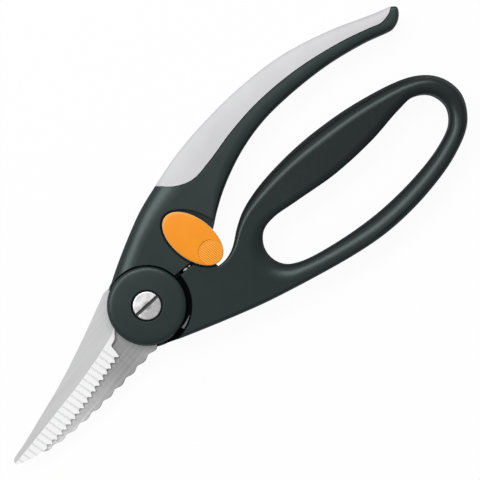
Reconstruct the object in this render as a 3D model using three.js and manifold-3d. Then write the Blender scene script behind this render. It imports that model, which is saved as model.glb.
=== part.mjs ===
// Fish shears: two crossed blades on one screw, an open arm handle, a closed loop handle and a swing lock.
// Millimetres. The screw axis is Z through the origin, z = 0 is the plane of the rear faces,
// the blades point along -X and the front face looks along +Z.
import * as THREE from "three";
import { mergeVertices } from "three/addons/utils/BufferGeometryUtils.js";
import Module from "manifold-3d";

const wasm = await Module();
wasm.setup();

// Levels along Z, rear to front
const HANDLE = [0, 14.8];
const REAR_COVER = [0, 4.9];
const REAR_BLADE = [5.2, 7.25];
const FRONT_BLADE = [7.55, 9.6];
const FRONT_COVER = [9.9, 15.4];
const STRIKE = [2.4, 6.4];
const STRIKE_ROOF = 7.6;
const LOCK_FLOOR = 10.6;
const LOCK = [10.9, 16.2];
const PAST_BOTH_FACES = [-1, 20];
const GAP = 0.3;
const SLIM_GAP = 0.15;

// Radii about the screw axis
const FRONT_COVER_RADIUS = 15.6;
const REAR_COVER_RADIUS = 17.1;
const HUB_RADIUS = 15;
const GROOVE_RADIUS = 18.1;
const SWEEP_RADIUS = 18.9;
const SLEEVE_RADIUS = 4;
const FLANGE_RADIUS = 7.5;
const SCREW_RADIUS = 2.5;
const HEAD_RADIUS = 5.7;
const HEAD_ROOM = 0.45;

// Heights and roundings of the pivot's turned pieces
const FLANGE_HEIGHT = 1.8;
const SLEEVE_TOP = 11.2;
const COVER_FLOOR = 11.4;
const COVER_ROUNDING = 0.9;
const WASHER = [11.7, 12.2];
const SCREW_FOOT = 2.3;
const SCREW_HEAD = [12.5, 15];
const HEAD_CHAMFER = 0.4;
const SCREW_SLOT = { width: 1.4, depth: 1.2, turn: -8 };

// Swing lock: oval centre, half axes and lean, and the pin it turns on
const OVAL = { x: 32.3, y: 3.3, halfWidth: 8.05, halfLength: 14.3, lean: 2.4 };
const LOCK_PIN = { x: 31.3, y: 12, radius: 1.6 };
const LOCK_POST = { x: 28.6, y: -5.2, radius: 1.2 };
const LOCK_SWING = 12;
const LOCK_MARGIN = 0.85;
const LOCK_SWUNG_MARGIN = 0.75;
const LOCK_ROUNDING = 0.9;
const THUMB_PAD = { x: 33.6, y: -5.6, radius: 4.2, depth: 0.7 };
const PIN_SPAN = [3.3, 13.9];
const POST_TOP = 12.9;
const DETENT = { x: 32, y: 4.5, half: 4.5, width: 3, thickness: 0.45, seat: 8.95, arch: 1.1 };

// Opening spring across the parting gap, along Y
const SPRING = { x: 20.8, z: 7.4, from: -8.6, to: 4.6, radius: 2.2, wire: 0.4, curls: 6 };
const SPRING_POCKET_RADIUS = 3;
const SPRING_POCKET_MOUTHS = [-6, 3];

// Blade details
const FLUTE_PITCH = 2.75;
const FLUTES = 20;
const FLUTE_RADIUS = 0.75;
const FLUTE_START = 5.9;
const FLUTE_LIFT = 0.3;
const FLUTE_SETBACK = 0.6;
const FLUTE_LENGTH = 16;
const HUMP_PITCH = 6.27;
const HUMP_HEIGHT = 0.5;
const HUMP_START = -11.5;
const BEVEL_SLOPE = 0.25;
const BEVEL_WIDTH = 12;
const BEVEL_HEEL = [-22, 2.6];
const BEVEL_TOE = [-83, 0.1];
const REAR_BEVEL = { toe: [-82.4, -0.6], heel: [-24, 2.5], width: 4.5, depth: 1.6 };

// Facets
const OUTLINE_STEP = 4;
const FILLET_STEPS = 4;
const ROUND_STEPS = 48;
const CURL_STEPS = 8;
const WIRE_SIDES = 5;

// Outlines of the handles: x, y and the fillet of the rim at each point.
// The loop handle's rim runs anticlockwise from the pivot along the lower side, its hole clockwise.
const LOOP_RIM = [
  [-7, -15.3, 2], [0, -19.6, 3], [23.5, -31.2, 4], [36.7, -37.4, 4], [70, -50.7, 4], [86.7, -55.3, 4],
  [106.1, -57.2, 3.6], [124.6, -55.8, 3.6], [137.6, -51.5, 3.6], [144.7, -43.5, 3.6], [145.8, -36, 3.6],
  [143.5, -28.7, 3.6], [136.7, -21.9, 3.6], [116.7, -12.6, 4], [95, -6.7, 4], [78.3, -4.3, 4],
  [63.3, -3.8, 4], [53.3, -5.2, 3], [46.7, -7.9, 2], [40.9, -11.3, 1.2], [37.3, -12.6, 0.8],
  [33.5, -13, 0.8], [30.2, -11.7, 0.6],
];
const LOOP_LEDGE = [
  [30.2, -11.7, 0.6], [30.2, -9.6, 0.5], [26.8, -7.2, 0.5], [26.8, -4.6, 0.5], [24.8, -4.1, 0.5],
  [17.3, -2.9, 0.5], [6, -1, 0.5], [-4, -8, 0.5], [-7, -15.3, 2],
];
const LOOP_RISE = 1.35;
const LOOP_HOLE_FILLET = 2.6;
const LOOP_HOLE = [
  [46.5, -26.1], [48.4, -20.8], [52.8, -16.6], [59, -15.9], [70.2, -18.7], [88.7, -24.1], [108.3, -26.6],
  [124, -26.9], [132.2, -28.3], [136.9, -33.5], [137.6, -40.5], [133.5, -46.2], [124.6, -49.1],
  [108.3, -49.6], [86.5, -47.2], [64.8, -41.5], [52.5, -36], [48, -31.6], [46.5, -26.1],
].map(([x, y]) => [x, y, LOOP_HOLE_FILLET]);
// The arm handle's rim runs anticlockwise from the pivot along the inner side to the tip and back.
const ARM_PARTING = [
  [-5, 15.4, 1], [0, 8, 0.5], [8, -0.2, 0.5], [16, -0.9, 0.5], [24.8, -2.8, 0.5], [26.3, -2, 0.5],
  [40.5, -0.3, 0.8],
];
const ARM_INNER = [
  [40.5, -0.3, 0.8], [46.7, 3.1, 1.6], [56.6, 7, 2], [71.1, 10.9, 2], [85.6, 11.8, 2], [100.1, 10.4, 2],
  [120.3, 6.2, 2], [136.4, 0.3, 2], [145.3, -4.1, 2],
];
const ARM_TIP = [
  [145.3, -4.1, 2], [148.1, -4.7, 2], [151, -4.2, 2], [153.9, -2.4, 2], [155.4, -0.2, 2], [153.4, 2, 2.5],
];
const ARM_OUTER = [
  [153.4, 2, 2.5], [146.9, 5.4, 3.5], [130, 14.7, 4.5], [110.2, 23, 5], [89.6, 27.5, 5], [70.3, 29.4, 5],
  [54.2, 29.6, 5], [38.8, 28.1, 5], [28, 26.3, 5], [18.9, 24, 4], [5.3, 19.2, 3], [-5, 15.4, 1],
];
// Edge of the soft inlay, from the outer side near the pivot to the tip.
const INLAY_EDGE = [
  [36.6, 32], [38.8, 28.1], [43.3, 22.1], [50.1, 18.3], [59.8, 17.9], [74.3, 18.7], [90.5, 18.2],
  [109.8, 14.9], [130, 8.4], [142.1, 3], [146.1, 0.9], [150.9, 0.7], [154, 2], [157, 4.2],
];
const INLAY_OUTSIDE = 40;
const INLAY_DEPTH = { along: -0.8, across: -2.3, front: 2.4 };

// Outlines of the blades
const FRONT_BLADE_EDGE = [
  [-82.6, -0.4], [-79, -2.6], [-72, -5.2], [-64, -6.4], [-58.6, -6.6], [-48, -6.4],
  [-36.9, -5.5], [-23.2, -4.2],
];
const FRONT_BLADE_NOTCH = [[-23.2, -4.2], [-21.7, -0.4], [-20.4, 1.3], [-16.3, 3.2], [-14.6, 2]];
const FRONT_TANG = [
  [3, -14.7], [5, -17.2], [36, -31.5], [41, -30], [42, -25], [38, -21.5], [14, -11.5], [11.5, -9.6],
];
const FRONT_TANG_MOUTH = [[8, -6], [4, -8]];
const FRONT_BLADE_CORNER = [[-3.6, 15.6], [-4.6, 16.3], [-7.4, 16.6], [-10, 15.8]];
const FRONT_BLADE_SPINE = [
  [-10, 15.8], [-20, 13.1], [-30, 10.5], [-40, 8.3], [-50, 6.3], [-61, 4.5], [-71, 2.9], [-76, 2.3],
];
const FRONT_BLADE_POINT = [[-76, 2.3], [-81.2, 1.7], [-82.3, 0.8], [-82.6, -0.4]];
const REAR_BLADE_BACK = [[-82.4, -1.5], [-75, -4.7], [-66, -7.5], [-50, -10.3], [-30, -12.2], [-11, -13.5]];
const REAR_TANG = [[13.7, 6], [24, 7.6], [36, 9], [60, 14.5], [61.5, 19], [60, 22.5], [8, 12.7]];
const REAR_TANG_MOUTH = [[4, 8], [6, 4]];
const REAR_BLADE_EDGE = [[-14.1, 5.2], [-24, 2.2], [-40, 0.7], [-82.4, -0.9]];
const STRIKE_OUTLINE = [
  [25.3, -9.3], [34.6, -9.3], [36, -8.2], [36, -2], [30.8, -2], [30.8, -3.8], [33.9, -3.8], [33.9, -6.8],
  [25.3, -6.8],
];

function solid(geometry) {
  const bare = new THREE.BufferGeometry();
  bare.setAttribute("position", geometry.getAttribute("position"));
  bare.setIndex(geometry.getIndex());
  const joined = mergeVertices(bare, 1e-4);
  const vertProperties = new Float32Array(joined.getAttribute("position").array);
  const triVerts = new Uint32Array(joined.getIndex().array);
  return new wasm.Manifold(new wasm.Mesh({ numProp: 3, vertProperties, triVerts }));
}

function piece(name, shape, material) {
  const { vertProperties, triVerts, numProp } = shape.getMesh();
  const geometry = new THREE.BufferGeometry();
  geometry.setAttribute("position", new THREE.BufferAttribute(new Float32Array(vertProperties), numProp));
  geometry.setIndex(new THREE.BufferAttribute(new Uint32Array(triVerts), 1));
  geometry.computeVertexNormals();
  const mesh = new THREE.Mesh(geometry, material);
  mesh.name = name;
  return mesh;
}

// Points along a smooth curve through the given ones. The third value, if any, is carried along.
function smooth(points, step = OUTLINE_STEP) {
  const knots = points.map(([x, y, fillet = 0]) => new THREE.Vector3(x, y, fillet));
  const curve = new THREE.CatmullRomCurve3(knots, false, "centripetal");
  return curve.getSpacedPoints(Math.max(1, Math.round(curve.getLength() / step)));
}

function straight(points) {
  return points.map(([x, y, fillet = 0]) => new THREE.Vector3(x, y, fillet));
}

function arc(radius, fromDegrees, toDegrees, steps) {
  const points = [];
  for (let i = 0; i <= steps; i++) {
    const angle = THREE.MathUtils.degToRad(fromDegrees + ((toDegrees - fromDegrees) * i) / steps);
    points.push(new THREE.Vector3(radius * Math.cos(angle), radius * Math.sin(angle), 0));
  }
  return points;
}

// One closed outline out of runs of points, without the doubled points where runs meet.
function join(...runs) {
  const points = runs.flat();
  return points.filter((point, i) => point.distanceTo(points[(i + 1) % points.length]) > 1e-6);
}

// At each point of an outline, the direction into the material, long enough to keep a parallel rim.
function inwardDirections(outline) {
  return outline.map((point, i) => {
    const before = outline[(i + outline.length - 1) % outline.length];
    const after = outline[(i + 1) % outline.length];
    const arriving = new THREE.Vector2(before.y - point.y, point.x - before.x).normalize();
    const leaving = new THREE.Vector2(point.y - after.y, after.x - point.x).normalize();
    const middle = arriving.clone().add(leaving).normalize();
    return middle.divideScalar(Math.max(0.6, middle.dot(leaving)));
  });
}

function grown(outline, distance) {
  const inward = inwardDirections(outline);
  return outline.map((point, i) => {
    const step = inward[i].multiplyScalar(distance);
    return new THREE.Vector3(point.x - step.x, point.y - step.y, point.z);
  });
}

function prism(outline, [low, high]) {
  const shape = new THREE.Shape(outline.map((point) => new THREE.Vector2(point.x, point.y)));
  const geometry = new THREE.ExtrudeGeometry(shape, { depth: high - low, bevelEnabled: false });
  return solid(geometry.translate(0, 0, low));
}

// A slab with rounded rims. The first outline runs anticlockwise, and holes run clockwise.
function roundedSlab(outlines, [low, high], rise = 1) {
  const inward = outlines.map(inwardDirections);
  const tallest = (high - low) / 2 - 0.2;
  const turns = [];
  for (let k = 0; k <= FILLET_STEPS; k++) turns.push((Math.PI / 2) * (k / FILLET_STEPS));
  const rings = [
    ...turns.toReversed().map((angle) => ({ angle, front: false })),
    ...turns.map((angle) => ({ angle, front: true })),
  ];
  const positions = [];
  const index = [];
  const perRing = outlines.flat().length;
  const inset = (angle) => outlines.map((outline, o) => outline.map((point, i) => {
    const step = inward[o][i].clone().multiplyScalar(point.z * (1 - Math.cos(angle)));
    return new THREE.Vector2(point.x, point.y).add(step);
  }));
  const fillets = outlines.flat().map((point) => Math.min(point.z * rise, tallest));
  rings.forEach(({ angle, front }, r) => {
    inset(angle).flat().forEach((point, i) => {
      const drop = fillets[i] * (1 - Math.sin(angle));
      positions.push(point.x, point.y, front ? high - drop : low + drop);
    });
    if (r === 0) return;
    let start = (r - 1) * perRing;
    for (const outline of outlines) {
      for (let i = 0; i < outline.length; i++) {
        const a = start + i;
        const b = start + ((i + 1) % outline.length);
        index.push(a, b, b + perRing, a, b + perRing, a + perRing);
      }
      start += outline.length;
    }
  });
  const [rim, ...holes] = inset(Math.PI / 2);
  const top = (rings.length - 1) * perRing;
  for (const [a, b, c] of THREE.ShapeUtils.triangulateShape(rim, holes)) {
    index.push(top + a, top + b, top + c);
    index.push(c, b, a);
  }
  const geometry = new THREE.BufferGeometry();
  geometry.setAttribute("position", new THREE.Float32BufferAttribute(positions, 3));
  geometry.setIndex(index);
  return geometry;
}

// A turned solid about the screw axis from a closed profile of radius and height.
function turned(profile, steps = ROUND_STEPS) {
  const points = profile.map(([radius, z]) => new THREE.Vector2(radius, z));
  if (profile[0][0] > 0) points.push(points[0].clone());
  return new THREE.LatheGeometry(points, steps).rotateX(Math.PI / 2);
}

function rod({ x, y, radius }, [low, high], steps = 20) {
  const geometry = new THREE.CylinderGeometry(radius, radius, high - low, steps).rotateX(Math.PI / 2);
  return solid(geometry.translate(x, y, (low + high) / 2));
}

const grownRod = ({ x, y, radius }) => ({ x, y, radius: radius + GAP });

function block(sizes, [x, y, z], turn = 0) {
  return solid(new THREE.BoxGeometry(...sizes).rotateZ(THREE.MathUtils.degToRad(turn)).translate(x, y, z));
}

// The lock's oval, grown by a margin and swung about its pin.
function oval(margin, swing = 0, fillet = 0, steps = 44) {
  const lean = THREE.MathUtils.degToRad(OVAL.lean);
  const pin = new THREE.Vector2(LOCK_PIN.x, LOCK_PIN.y);
  const points = [];
  for (let i = 0; i < steps; i++) {
    const angle = (2 * Math.PI * i) / steps;
    const point = new THREE.Vector2(
      (OVAL.halfWidth + margin) * Math.cos(angle),
      (OVAL.halfLength + margin) * Math.sin(angle),
    );
    point.rotateAround(new THREE.Vector2(), lean).add(new THREE.Vector2(OVAL.x, OVAL.y));
    point.rotateAround(pin, THREE.MathUtils.degToRad(swing));
    points.push(new THREE.Vector3(point.x, point.y, fillet));
  }
  return points;
}

const plastic = new THREE.MeshStandardMaterial({ color: "#323a3a", roughness: 0.5, metalness: 0 });
const softGrey = new THREE.MeshStandardMaterial({ color: "#dad9db", roughness: 0.7, metalness: 0 });
const orange = new THREE.MeshStandardMaterial({ color: "#f89b2d", roughness: 0.4, metalness: 0 });
const paleSteel = new THREE.MeshStandardMaterial({ color: "#c6c7c8", roughness: 0.3, metalness: 1 });
const darkSteel = new THREE.MeshStandardMaterial({ color: "#9c9d9f", roughness: 0.35, metalness: 1 });
const brightSteel = new THREE.MeshStandardMaterial({ color: "#d8d9da", roughness: 0.2, metalness: 1 });

// Blades
const frontBladeOutline = join(
  smooth(FRONT_BLADE_EDGE, 4),
  straight(FRONT_BLADE_NOTCH),
  arc(HUB_RADIUS, 176, 282, 12),
  straight(FRONT_TANG),
  arc(HUB_RADIUS, -38, 103, 16),
  straight(FRONT_BLADE_CORNER),
  smooth(FRONT_BLADE_SPINE, 8),
  straight(FRONT_BLADE_POINT),
);

const sleeveBore = () => rod({ x: 0, y: 0, radius: SLEEVE_RADIUS + GAP }, PAST_BOTH_FACES, 32);

// The ground bevel leaves the flat of the blade along a line and falls towards the edge.
function bevelCutter() {
  const heel = new THREE.Vector3(...BEVEL_HEEL, FRONT_BLADE[1]);
  const toe = new THREE.Vector3(...BEVEL_TOE, FRONT_BLADE[1]);
  const along = Math.atan2(heel.y - toe.y, heel.x - toe.x);
  const length = heel.distanceTo(toe) + 1.5;
  const clear = 2;
  const section = new THREE.Shape([
    new THREE.Vector2(0, 0),
    new THREE.Vector2(-BEVEL_WIDTH, -BEVEL_WIDTH * BEVEL_SLOPE),
    new THREE.Vector2(-BEVEL_WIDTH, clear),
    new THREE.Vector2(0, clear),
  ]);
  const wedge = new THREE.ExtrudeGeometry(section, { depth: length, bevelEnabled: false });
  wedge.rotateX(Math.PI / 2).rotateZ(Math.PI / 2);
  return { wedge: wedge.rotateZ(along).translate(toe.x, toe.y, toe.z), toe, along };
}

function frontBlade() {
  const { wedge, toe, along } = bevelCutter();
  let blade = prism(frontBladeOutline, FRONT_BLADE).subtract(solid(wedge));
  for (let i = 0; i < FLUTES; i++) {
    const flute = new THREE.CylinderGeometry(FLUTE_RADIUS, FLUTE_RADIUS, FLUTE_LENGTH, 8);
    flute.translate(0, -FLUTE_LENGTH / 2, 0).rotateX(Math.atan(BEVEL_SLOPE));
    flute.translate(FLUTE_START + i * FLUTE_PITCH, -FLUTE_SETBACK, FLUTE_LIFT);
    flute.rotateZ(along).translate(toe.x, toe.y, toe.z);
    blade = blade.subtract(solid(flute));
  }
  return blade.subtract(sleeveBore());
}

// The rear blade's back is a row of scaling humps on a falling curve.
function scalingBack() {
  return smooth(REAR_BLADE_BACK, 0.9).map((point) => {
    const wave = Math.cos((2 * Math.PI * (point.x - HUMP_START)) / HUMP_PITCH);
    return new THREE.Vector3(point.x, point.y - HUMP_HEIGHT * wave, 0);
  });
}

function rearBlade() {
  const outline = join(
    scalingBack(),
    arc(HUB_RADIUS, 248, 383, 14),
    straight(REAR_TANG),
    arc(HUB_RADIUS, 60, 158, 12),
    straight(REAR_BLADE_EDGE),
  );
  const { toe, heel, width, depth } = REAR_BEVEL;
  const edge = new THREE.Shape([
    new THREE.Vector2(0, 0),
    new THREE.Vector2(-width, 0),
    new THREE.Vector2(0, depth),
  ]);
  const rise = heel[1] - toe[1];
  const run = heel[0] - toe[0];
  const bevel = new THREE.ExtrudeGeometry(edge, { depth: Math.hypot(run, rise), bevelEnabled: false });
  bevel.rotateX(Math.PI / 2).rotateZ(Math.PI / 2);
  bevel.rotateZ(Math.atan2(rise, run)).translate(...toe, REAR_BLADE[0] - 0.01);
  return prism(outline, REAR_BLADE)
    .subtract(solid(bevel))
    .subtract(sleeveBore())
    .subtract(rod(grownRod(LOCK_PIN), PAST_BOTH_FACES));
}

// Handles
function springPocket(from, to) {
  const geometry = new THREE.CylinderGeometry(SPRING_POCKET_RADIUS, SPRING_POCKET_RADIUS, to - from, 16);
  return solid(geometry.translate(SPRING.x, (from + to) / 2, SPRING.z));
}

function pocketAround(outline, [low, high]) {
  return prism(grown(outline, GAP), [low - GAP, high + GAP]);
}

function loopHandle() {
  const rim = join(smooth(LOOP_RIM), straight(LOOP_LEDGE));
  const hole = join(smooth(LOOP_HOLE));
  const pivotRoom = turned([
    [0, PAST_BOTH_FACES[0]], [REAR_COVER_RADIUS + GAP, PAST_BOTH_FACES[0]],
    [REAR_COVER_RADIUS + GAP, REAR_BLADE[0] - GAP],
    [SWEEP_RADIUS, REAR_BLADE[0] - GAP], [SWEEP_RADIUS, FRONT_BLADE[0] - GAP],
    [GROOVE_RADIUS, FRONT_BLADE[0] - GAP], [GROOVE_RADIUS, PAST_BOTH_FACES[1]], [0, PAST_BOTH_FACES[1]],
  ]);
  return solid(roundedSlab([rim, hole], HANDLE, LOOP_RISE))
    .subtract(solid(pivotRoom))
    .subtract(prism(oval(LOCK_MARGIN), [STRIKE_ROOF, PAST_BOTH_FACES[1]]))
    .subtract(pocketAround(join(straight([...FRONT_TANG, ...FRONT_TANG_MOUTH])), FRONT_BLADE))
    .subtract(pocketAround(join(straight(STRIKE_OUTLINE)), STRIKE))
    .subtract(springPocket(SPRING.from - GAP, SPRING_POCKET_MOUTHS[1]));
}

function armBlank() {
  const rim = join(straight(ARM_PARTING), smooth(ARM_INNER), smooth(ARM_TIP, 2), smooth(ARM_OUTER));
  return roundedSlab([rim], HANDLE);
}

// The inlay wraps the outer side: what lies beyond its edge, down to a core within the arm.
function inlayBeyond(shift) {
  const away = new THREE.Vector3(shift * 0.3, shift, 0);
  const edge = smooth(INLAY_EDGE).map((point) => point.add(away));
  const outside = [[edge.at(-1).x, INLAY_OUTSIDE], [edge[0].x, INLAY_OUTSIDE]];
  return prism(join(edge, straight(outside)), PAST_BOTH_FACES);
}

function armCore(clearance) {
  const middle = (HANDLE[0] + HANDLE[1]) / 2;
  const scale = 1 - (INLAY_DEPTH.front - clearance) / middle;
  const core = armBlank().translate(0, 0, -middle).scale(1, 1, scale).translate(0, 0, middle);
  const share = 1 - clearance / INLAY_DEPTH.front;
  return solid(core.translate(INLAY_DEPTH.along * share, INLAY_DEPTH.across * share, 0));
}

function armHandle() {
  const pivotRoom = turned([
    [0, PAST_BOTH_FACES[0]], [REAR_COVER_RADIUS + 2 * GAP, PAST_BOTH_FACES[0]],
    [REAR_COVER_RADIUS + 2 * GAP, REAR_BLADE[0] - GAP], [HUB_RADIUS + 4 * GAP, REAR_BLADE[0] - GAP],
    [HUB_RADIUS + 4 * GAP, REAR_BLADE[1] + SLIM_GAP], [SWEEP_RADIUS, REAR_BLADE[1] + SLIM_GAP],
    [SWEEP_RADIUS, FRONT_COVER[0] - SLIM_GAP], [FRONT_COVER_RADIUS + GAP, FRONT_COVER[0] - SLIM_GAP],
    [FRONT_COVER_RADIUS + GAP, PAST_BOTH_FACES[1]], [0, PAST_BOTH_FACES[1]],
  ]);
  const { x, y, half, width, seat } = DETENT;
  const leafRoom = [2 * half + 1, width + 2 * GAP, LOCK_FLOOR - seat + 2 * GAP];
  return solid(armBlank())
    .subtract(inlayBeyond(0).subtract(armCore(0)))
    .subtract(solid(pivotRoom))
    .subtract(prism(oval(LOCK_MARGIN), [LOCK_FLOOR, PAST_BOTH_FACES[1]]))
    .subtract(prism(oval(LOCK_SWUNG_MARGIN, LOCK_SWING), [LOCK_FLOOR, PAST_BOTH_FACES[1]]))
    .subtract(pocketAround(join(straight([...REAR_TANG, ...REAR_TANG_MOUTH])), REAR_BLADE))
    .subtract(rod(grownRod(LOCK_PIN), [PIN_SPAN[0] - GAP, PAST_BOTH_FACES[1]]))
    .subtract(block(leafRoom, [x, y, (LOCK_FLOOR + seat) / 2]))
    .subtract(springPocket(SPRING_POCKET_MOUTHS[0], SPRING.to + GAP));
}

const armGrip = () => solid(armBlank()).intersect(inlayBeyond(GAP)).subtract(armCore(GAP));

// Pivot
const rearPivotCover = () => solid(turned([
  [FLANGE_RADIUS + GAP, 0], [REAR_COVER_RADIUS - 2 * GAP, 0], [REAR_COVER_RADIUS, 2 * GAP],
  [REAR_COVER_RADIUS, REAR_COVER[1]], [SLEEVE_RADIUS + GAP, REAR_COVER[1]],
  [SLEEVE_RADIUS + GAP, FLANGE_HEIGHT + GAP], [FLANGE_RADIUS + GAP, FLANGE_HEIGHT + GAP],
]));

function frontPivotCover() {
  const [rear, front] = FRONT_COVER;
  const recess = HEAD_RADIUS + HEAD_ROOM;
  const third = COVER_ROUNDING / 3;
  return solid(turned([
    [SLEEVE_RADIUS + GAP, rear], [FRONT_COVER_RADIUS, rear], [FRONT_COVER_RADIUS, front - COVER_ROUNDING],
    [FRONT_COVER_RADIUS - third, front - third], [FRONT_COVER_RADIUS - COVER_ROUNDING, front],
    [recess + third, front], [recess, front - third], [recess, COVER_FLOOR],
    [SLEEVE_RADIUS + GAP, COVER_FLOOR],
  ]));
}

const pivotSleeveNut = () => solid(turned([
  [0, 0], [FLANGE_RADIUS, 0], [FLANGE_RADIUS, FLANGE_HEIGHT], [SLEEVE_RADIUS, FLANGE_HEIGHT],
  [SLEEVE_RADIUS, SLEEVE_TOP], [SCREW_RADIUS + GAP, SLEEVE_TOP], [SCREW_RADIUS + GAP, SCREW_FOOT - GAP],
  [0, SCREW_FOOT - GAP],
], 32));

const screwWasher = () => solid(turned([
  [SCREW_RADIUS + GAP, WASHER[0]], [HEAD_RADIUS, WASHER[0]], [HEAD_RADIUS, WASHER[1]],
  [SCREW_RADIUS + GAP, WASHER[1]],
], 32));

function pivotScrew() {
  const [rear, front] = SCREW_HEAD;
  const body = solid(turned([
    [0, SCREW_FOOT], [SCREW_RADIUS, SCREW_FOOT], [SCREW_RADIUS, rear], [HEAD_RADIUS, rear],
    [HEAD_RADIUS, front - HEAD_CHAMFER], [HEAD_RADIUS - HEAD_CHAMFER, front], [0, front],
  ], 36));
  const { width, depth, turn } = SCREW_SLOT;
  return body.subtract(block([3 * HEAD_RADIUS, width, 2 * depth], [0, 0, front], turn));
}

// Opening spring: one wire, with a straight end on either side of its curls.
function openingSpring() {
  const { x, z, from, to, radius, wire, curls } = SPRING;
  const steps = curls * CURL_STEPS;
  const straightEnd = 2 * wire;
  const centres = [];
  for (let i = 0; i <= steps; i++) {
    const angle = (2 * Math.PI * i) / CURL_STEPS;
    const y = from + wire + ((to - from - 2 * wire) * i) / steps;
    centres.push({ angle, lead: 0, y });
  }
  centres.unshift({ ...centres[0], lead: -straightEnd });
  centres.push({ ...centres.at(-1), lead: straightEnd });
  const points = centres.map(({ angle, lead, y }) => new THREE.Vector3(
    x + radius * Math.cos(angle) - lead * Math.sin(angle),
    y,
    z + radius * Math.sin(angle) + lead * Math.cos(angle),
  ));
  let gap = Infinity;
  points.forEach((point, i) => {
    for (const other of points.slice(i + CURL_STEPS / 2 + 1)) {
      gap = Math.min(gap, point.distanceTo(other) - 2 * wire);
    }
  });
  console.log(`opening_spring: least gap between curls ${gap.toFixed(2)} mm`);
  const positions = [];
  const index = [];
  points.forEach((point, i) => {
    const { angle } = centres[i];
    for (let s = 0; s < WIRE_SIDES; s++) {
      const around = (2 * Math.PI * s) / WIRE_SIDES;
      const out = wire * Math.cos(around);
      const side = wire * Math.sin(around);
      positions.push(point.x + out * Math.cos(angle), point.y + side, point.z + out * Math.sin(angle));
      if (i === 0) continue;
      const a = (i - 1) * WIRE_SIDES + s;
      const b = (i - 1) * WIRE_SIDES + ((s + 1) % WIRE_SIDES);
      index.push(a, b, b + WIRE_SIDES, a, b + WIRE_SIDES, a + WIRE_SIDES);
    }
  });
  const last = (points.length - 1) * WIRE_SIDES;
  for (let s = 1; s < WIRE_SIDES - 1; s++) {
    index.push(0, s + 1, s);
    index.push(last, last + s, last + s + 1);
  }
  const geometry = new THREE.BufferGeometry();
  geometry.setAttribute("position", new THREE.Float32BufferAttribute(positions, 3));
  geometry.setIndex(index);
  return solid(geometry);
}

// Swing lock
function lockLever() {
  const { x, y, radius, depth } = THUMB_PAD;
  const front = LOCK[1];
  const dish = turned([
    [0, front - depth], [radius * 0.5, front - depth * 0.75], [radius, front], [radius + 0.5, front + 0.4],
    [radius + 0.5, PAST_BOTH_FACES[1]], [0, PAST_BOTH_FACES[1]],
  ], 24).translate(x, y, 0);
  return solid(roundedSlab([oval(0, 0, LOCK_ROUNDING)], LOCK))
    .subtract(solid(dish))
    .subtract(rod(grownRod(LOCK_PIN), [0, PIN_SPAN[1] + GAP]))
    .subtract(rod(grownRod(LOCK_POST), [0, POST_TOP + GAP]));
}

function lockDetentSpring() {
  const { x, y, half, width, thickness, seat, arch } = DETENT;
  const steps = 12;
  const line = [];
  for (let i = 0; i <= steps; i++) {
    const along = half * ((2 * i) / steps - 1);
    line.push(new THREE.Vector2(along, seat + arch * Math.cos((Math.PI * along) / (2 * half)) ** 2));
  }
  const back = line.toReversed().map((point) => new THREE.Vector2(point.x, point.y + thickness));
  const outline = new THREE.Shape([...line, ...back]);
  const strip = new THREE.ExtrudeGeometry(outline, { depth: width, bevelEnabled: false });
  return solid(strip.rotateX(Math.PI / 2).translate(x, y + width / 2, 0));
}

const shears = new THREE.Group();
const loopSide = new THREE.Group();
const armSide = new THREE.Group();
const lock = new THREE.Group();
loopSide.add(
  piece("loop_handle", loopHandle(), plastic),
  piece("front_blade", frontBlade(), paleSteel),
  piece("rear_pivot_cover", rearPivotCover(), plastic),
  piece("pivot_sleeve_nut", pivotSleeveNut(), brightSteel),
  piece("pivot_screw", pivotScrew(), brightSteel),
  piece("screw_washer", screwWasher(), darkSteel),
  piece("lock_strike", prism(join(straight(STRIKE_OUTLINE)), STRIKE), darkSteel),
  piece("opening_spring", openingSpring(), brightSteel),
);
armSide.add(
  piece("arm_handle", armHandle(), plastic),
  piece("arm_grip", armGrip(), softGrey),
  piece("rear_blade", rearBlade(), darkSteel),
  piece("front_pivot_cover", frontPivotCover(), plastic),
  piece("lock_pivot_pin", rod(LOCK_PIN, PIN_SPAN), brightSteel),
  piece("lock_detent_spring", lockDetentSpring(), brightSteel),
);
lock.add(
  piece("lock_lever", lockLever(), orange),
  piece("lock_post", rod(LOCK_POST, [STRIKE[0] + GAP, POST_TOP]), brightSteel),
);
armSide.add(lock);
shears.add(loopSide, armSide);

export default shears;
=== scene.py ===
"""Fish shears: the finished look of every piece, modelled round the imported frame.

Sizes are in millimetres and become metres by MM. The screw axis is Z through the origin, the blades point
along -X and the front faces look along +Z.
"""
import math

import bpy
from mathutils import Matrix, Vector


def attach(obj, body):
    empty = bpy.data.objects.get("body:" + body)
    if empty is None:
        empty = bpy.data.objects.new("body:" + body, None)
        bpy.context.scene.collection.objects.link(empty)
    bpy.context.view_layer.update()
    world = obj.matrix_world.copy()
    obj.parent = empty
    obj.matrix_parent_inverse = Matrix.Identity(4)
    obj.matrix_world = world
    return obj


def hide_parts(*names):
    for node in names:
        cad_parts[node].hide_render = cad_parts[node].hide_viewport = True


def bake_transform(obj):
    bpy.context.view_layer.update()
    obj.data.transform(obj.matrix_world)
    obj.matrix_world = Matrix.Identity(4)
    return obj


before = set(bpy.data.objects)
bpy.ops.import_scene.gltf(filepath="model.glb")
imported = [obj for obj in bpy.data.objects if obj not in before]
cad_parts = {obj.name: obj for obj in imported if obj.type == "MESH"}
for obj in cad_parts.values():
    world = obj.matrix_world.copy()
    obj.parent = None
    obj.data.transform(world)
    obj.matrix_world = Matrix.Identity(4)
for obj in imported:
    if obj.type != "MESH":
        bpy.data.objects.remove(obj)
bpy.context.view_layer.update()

MM = 0.001

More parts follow.
